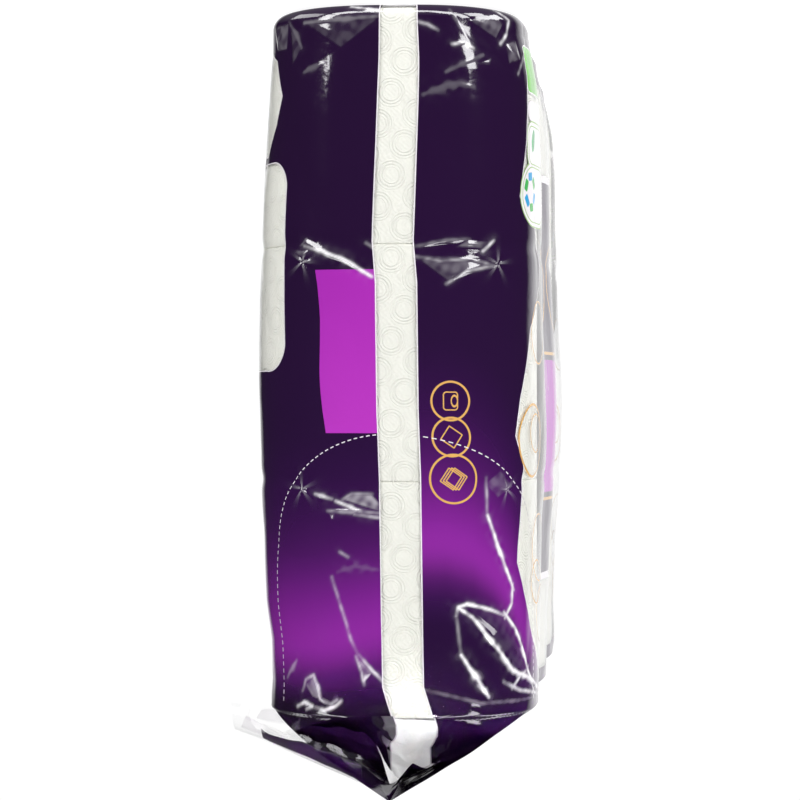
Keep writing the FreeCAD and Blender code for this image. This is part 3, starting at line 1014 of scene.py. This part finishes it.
def gusset_grids(end):
    """The tucked-in side's film: its floor and, under each slope, its folded half. end: 1 or -1."""
    u = np.linspace(-CORNER, CORNER, TUCK_COLUMNS)
    at = u if end > 0 else ROUND / 2 - u
    foot = wall(at, wall_top(at))
    apex = np.array([end * APEX_X, 0.0, RIDGE - 1.2])
    t = np.linspace(0, 1, TUCK_STEPS)[:, None, None]
    s = np.linspace(0, 1, TUCK_STEPS)[None, :, None]
    flat_t, flat_s = t[..., 0], s[..., 0]
    floor = foot * (1 - t) + apex * t
    creased = np.sin(math.pi * flat_t)
    wrinkle = np.abs(waves(floor[..., 0], floor[..., 1], *TUCK_WRINKLE))
    pull = np.abs(waves(floor[..., 1], flat_t * 20, *TUCK_PULL))
    floor[..., 2] += (0.9 * wrinkle + 0.5 * pull) * creased
    creep = np.interp(flat_t, *zip(*TUCK_CREEP))
    v = EAVE + flat_t * PRINT_UP_SLOPE
    grids = [placed(*np.moveaxis(floor, -1, 0), -floor[..., 1] - creep, v)]
    for side in (-1, 1):
        corner = foot[0 if side * end > 0 else -1]
        tip = np.array([end * END_REACH, 0.0, RIDGE - 0.6])
        edge = corner * (1 - s) + tip * s
        edge = edge + np.array([end * END_BULGE * 4, 0, 0]) * s * (1 - s)
        sagging = (BACK_HANG if side > 0 else FRONT_HANG) if end > 0 else ((0, 0), (0.5, 1), (1, 0))
        hang = np.interp(s, *zip(*sagging)) * (1 - t) ** 1.5
        ragged = waves(30 * s, 0, *FOLD_RAGGED, side) * 0.5 * smooth(s * 8) * (1 - t) ** 2
        half = edge * (1 - t) + apex * t + np.array([0, 0, -1.0]) * (hang + ragged)
        crease = np.abs(waves(half[..., 1] * 1.6, half[..., 0], *FOLD_WRINKLE, side))
        fan = np.abs(waves(40 * flat_s, 6 * flat_t, *FOLD_FAN, side))
        calm = 0.35 if end > 0 and side > 0 else 0.8
        half[..., 2] -= calm * (crease + 0.8 * fan) * creased
        inner = 13 if side < 0 else -1.3
        half_u = -side * (inner + 45 * (1 - flat_s) * (1 - 0.8 * flat_t))
        half_v = EAVE + 4 + PRINT_UP_SLOPE * 0.9 * flat_s * (1 - flat_t)
        grids.append(placed(*np.moveaxis(half, -1, 0), half_u, half_v))
    return grids


CURL = 16.0                 # of the fin that curls down at each end
CURL_DROP = 12.5
FIN_COLUMNS = 330
FIN_ROWS = 90
FIN_PRINT = 25.0            # from the ridge's height to the sealed edge's first print
FLAT_END_REACH = 58.0       # of its folded-in ends, from the narrow sides


def fin_grid(rise):
    """One layer of the sealed edge, laid over to the back, limp at its ends and free edge."""
    flat_x = END_REACH * np.linspace(-1, 1, FIN_COLUMNS)[None]
    x = flat_x
    d = np.linspace(0, FIN_LENGTH, FIN_ROWS)[:, None]
    limp = (d / FIN_LENGTH) ** 1.3
    z = RIDGE + rise - d * math.sin(FIN_DROOP) + 1.6 * limp * waves(x, d, *FIN_SWELL)
    curl = np.clip((np.abs(x) - (END_REACH - CURL)) / CURL, 0, 1)
    held = smooth(d / 9)
    z = z - CURL_DROP * curl ** 1.6 * held * (1 + 0.12 * waves(d, x, *CURL_SWELL))
    x = x - np.sign(x) * 4.0 * curl ** 2 * held
    x = x + np.sign(x) * 1.0 * curl * waves(d, 0, *CURL_RAGGED) * held
    return placed(x, d * math.cos(FIN_DROOP), z, flat_x, RIDGE + FIN_PRINT + d)


def flat_end_grid():
    """The flat end, folded in over the rolls' ends to a long seam."""
    u = np.linspace(-ROUND / 2, ROUND / 2, 260)[:-1]
    rim = wall(u, np.full_like(u, RIM_START))
    seam_end = END_REACH - FLAT_END_REACH
    t = np.linspace(0, 1, 26)[:, None]
    x = rim[:, 0] * (1 - t) + np.clip(rim[:, 0], -seam_end, seam_end) * t
    return placed(x, rim[:, 1] * (1 - t), 0.25 * smooth(t * 4), u, RIM_START - t * SIDE_REACH)


def make_film():
    film = film_material()
    near, prints, u, v = wall_grid(-NEAR_HALF, NEAR_HALF, NEAR_STEP)
    # painted highlights and sheen along the near side's creases
    white = painted_highlights(u, v)
    third = len(near) // 3
    for name, rows in (("low", slice(0, third + 1)), ("middle", slice(third, 2 * third + 1)),
                       ("high", slice(2 * third, None))):
        grid_object("film_near_side_" + name, near[rows], prints[rows], film, white=white[rows])
    far = wall_grid(NEAR_HALF, ROUND - NEAR_HALF, FAR_STEP)
    grid_object("film_far_sides", *far[:2], film)
    grid_object("film_slope_front", *slope_grid(-1), film)
    grid_object("film_slope_back", *slope_grid(1), film)
    for end, name in ((1, "near"), (-1, "far")):
        for part, grid in zip(("floor", "fold_front", "fold_back"), gusset_grids(end)):
            inside = PACK_MIDDLE if part == "floor" else FAR_ABOVE
            grid_object("film_gusset_%s_%s" % (name, part), *grid, film, inside=inside)
    grid_object("film_fin", *fin_grid(0.3), film)
    grid_object("film_fin_under", *fin_grid(0.0), film, inside=FAR_ABOVE)
    grid_object("film_flat_end", *flat_end_grid(), film, closed=True)


LIT_PLACE = (0.12, 0.0, 0.16)
BEAM_LIT = (0.165, 0.0, 0.330)          # at the mouth of the closed end's pocket


def soft_box(name, place, width, height, power, along=(0.0, 1.0, 0.0), lit=LIT_PLACE,
             spread=math.pi):
    """Rectangular light that faces the pack; its width runs as nearly as it can along a way."""
    light = bpy.data.lights.new(name, "AREA")
    light.shape = "RECTANGLE"
    light.size, light.size_y = width, height
    light.energy = power
    light.spread = spread
    back = np.array(place) - np.array(lit)
    back = back / np.linalg.norm(back)
    over = np.cross(back, along)
    over = over / np.linalg.norm(over)
    add_object(name, light).matrix_world = placing(place, np.cross(over, back), over, back)


RING_POLAR = math.radians(57)       # of the arcs of lights, from the way to the camera
RING_DISTANCE = 1.5
RING_ANGLES = (33, 62, 90, 118, 147)
RING_BOX = (0.6, 0.34)
RING_POWERS = (("low", -1, 5.2), ("high", 1, 3.2))
BEAM_SPREAD = math.radians(5)
# Single soft boxes: name, place, width, height, power
FILL_BOX = ("soft_box_fill", (1.42, -0.35, 0.86), 0.7, 0.2, 2.5)
BEAM_BOXES = (("soft_box_closed_end_over", (1.3, -0.3, 0.6), 0.14, 0.05, 0.05),
              ("soft_box_closed_end_under", (1.3, -0.3, 0.06), 0.14, 0.05, 0.025))
SIDE_BOXES = (("soft_box_side_low_front", (0.1, -1.25, -0.85), 1.2, 0.5, 13),
              ("soft_box_side_high_front", (0.0, -1.2, 1.35), 1.4, 0.5, 8),
              ("soft_box_side_low_back", (0.1, 1.25, -0.85), 1.2, 0.5, 6),
              ("soft_box_side_high_back", (0.0, 1.2, 1.35), 1.4, 0.5, 4))


def make_lights():
    """Two arcs of soft boxes, one low and one high, a few single ones, and a room white behind."""
    for name, sign, power in RING_POWERS:
        for number, degrees in enumerate(RING_ANGLES):
            turn = math.radians(degrees)
            place = np.array(LIT_PLACE) + RING_DISTANCE * np.array([
                math.cos(RING_POLAR), -math.sin(RING_POLAR) * math.cos(turn),
                sign * math.sin(RING_POLAR) * math.sin(turn)])
            soft_box("soft_box_%s_%d" % (name, number + 1), place, *RING_BOX, power,
                     (0.0, math.sin(turn), sign * math.cos(turn)))
    soft_box(*FILL_BOX)
    for box in BEAM_BOXES:
        soft_box(*box, lit=BEAM_LIT, spread=BEAM_SPREAD)
    for box in SIDE_BOXES:
        soft_box(*box, along=(1, 0, 0))
    world = bpy.data.worlds.new("studio")
    tree = empty_tree(world)
    output = tree.nodes.new("ShaderNodeOutputWorld")
    background = tree.nodes.new("ShaderNodeBackground")
    fill(tree, output, {"Surface": background.outputs[0]})
    x, y, level = parts(tree, coordinates(tree, "Generated"))
    behind = x * -1.0 + y * -0.1
    shade = behind.above(0.86, 0.16).most(level.above(0.4, 0.25) * 0.14)
    shade = shade.most((level * -1.0).above(0.4, 0.25) * 0.2) + 0.02
    path = tree.nodes.new("ShaderNodeLightPath")
    shade = shade.most(Number(tree, path.outputs["Is Camera Ray"]))     # a white backdrop
    fill(tree, background, {"Color": PLAIN_WHITE, "Strength": shade})
    bpy.context.scene.world = world
    bpy.context.scene.view_settings.view_transform = "Standard"


FLOOR_HALF = 4000.0


def make_floor():
    """Plain white floor. The soft boxes that stand lower than the pack shine past it."""
    material, tree, shader, _ = new_material("floor")
    fill(tree, shader, {"Base Color": (0.35, 0.35, 0.35, 1.0), "Roughness": 0.9,
                        "Emission Color": PLAIN_WHITE, "Emission Strength": 0.93})
    half = FLOOR_HALF
    corners = np.array([(-half, -half, -1), (half, -half, -1), (half, half, -1), (-half, half, -1)])
    floor = add_piece("floor", corners, np.array([[0, 1, 2, 3]]), material)
    floor.visible_diffuse = False
    floor.visible_glossy = False
    floor.visible_transmission = False
    floor.visible_shadow = False


make_camera()
make_film()
dress_rolls()
make_lights()
make_floor()
